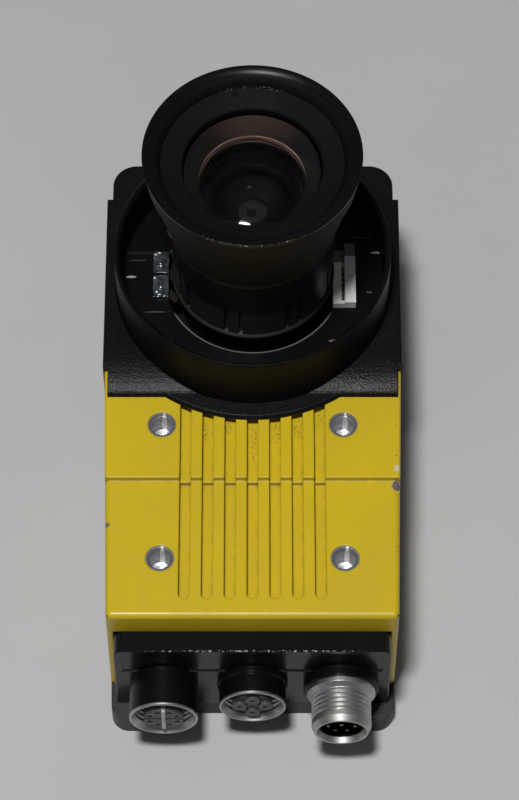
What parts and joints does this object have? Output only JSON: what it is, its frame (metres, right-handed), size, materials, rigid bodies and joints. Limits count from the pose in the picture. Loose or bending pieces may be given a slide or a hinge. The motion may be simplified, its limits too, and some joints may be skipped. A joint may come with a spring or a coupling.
{
  "type": "machine vision camera",
  "caption": "Industrial vision camera with a finned housing, a screw-in lens inside an open cover collar, and round sealed connectors.",
  "frame": {"origin": "on the flat back, under the lens axis", "axes": "+Z the way the lens looks, -Y towards the connectors, X across the width"},
  "size_m": [0.0614, 0.1216, 0.0843],
  "materials": {
    "yellow_paint": "satin paint",
    "black_paint": "fine textured paint",
    "black_gloss": "glossy",
    "lens_black": "black anodised",
    "bare_metal": "turned",
    "steel": "plain",
    "contact_metal": "plated",
    "black_plastic": "moulded",
    "grey_plastic": "moulded",
    "white_plastic": "moulded",
    "clear_plastic": "tinted clear",
    "amber_plastic": "tinted clear",
    "glass": "coated",
    "sensor": "glossy",
    "board": "solder mask"
  },
  "bodies": {
    "case": {"back_plate": "black_paint", "back_plate_screws": "steel", "finned_housing": "yellow_paint", "mounting_inserts": "bare_metal", "lens_block": "black_paint", "cover_collar": "black_gloss", "inner_plate": "black_gloss", "inner_plate_screws": "steel", "indicator_lights": "clear_plastic", "light_pipes": "amber_plastic", "light_connector": "white_plastic", "light_connector_contacts": "contact_metal", "lens_mount_ring": "lens_black", "lens_barrel": "lens_black", "name_ring": "lens_black", "second_glass": "glass", "rear_glass": "glass", "second_retaining_ring": "lens_black", "front_spacer": "lens_black", "rear_spacer": "lens_black", "iris_blades": "lens_black", "image_sensor": "sensor", "sensor_board": "board", "sensor_board_spacers": "bare_metal", "processor_board": "board", "power_board": "board", "board_spacers": "bare_metal", "connector_cap": "black_plastic", "left_socket_shell": "black_plastic", "left_socket_sleeve": "bare_metal", "left_contact_insert": "grey_plastic", "left_contacts": "contact_metal", "left_shield_cross": "bare_metal", "middle_socket_shell": "black_plastic", "middle_socket_sleeve": "bare_metal", "middle_contact_insert": "grey_plastic", "middle_contacts": "contact_metal", "right_base_ring": "black_plastic", "right_plug_shell": "bare_metal", "right_pin_insert": "black_plastic", "right_pins": "contact_metal"},
    "iris": {"iris_ring": "lens_black"},
    "front_group": {"focus_barrel": "lens_black", "focus_lock_screw": "steel", "front_retaining_ring": "lens_black", "front_glass": "glass"}
  },
  "joints": [
    {"name": "focus_turn", "type": "hinge", "parent": "case", "child": "front_group", "pos_m": [0, 0, 0.07], "axis": [0, 0, 1], "range_deg": [-60, 120]},
    {"name": "iris_turn", "type": "hinge", "parent": "case", "child": "iris", "pos_m": [0, 0, 0.048], "axis": [0, 0, 1], "range_deg": [-20, 50]}
  ]
}
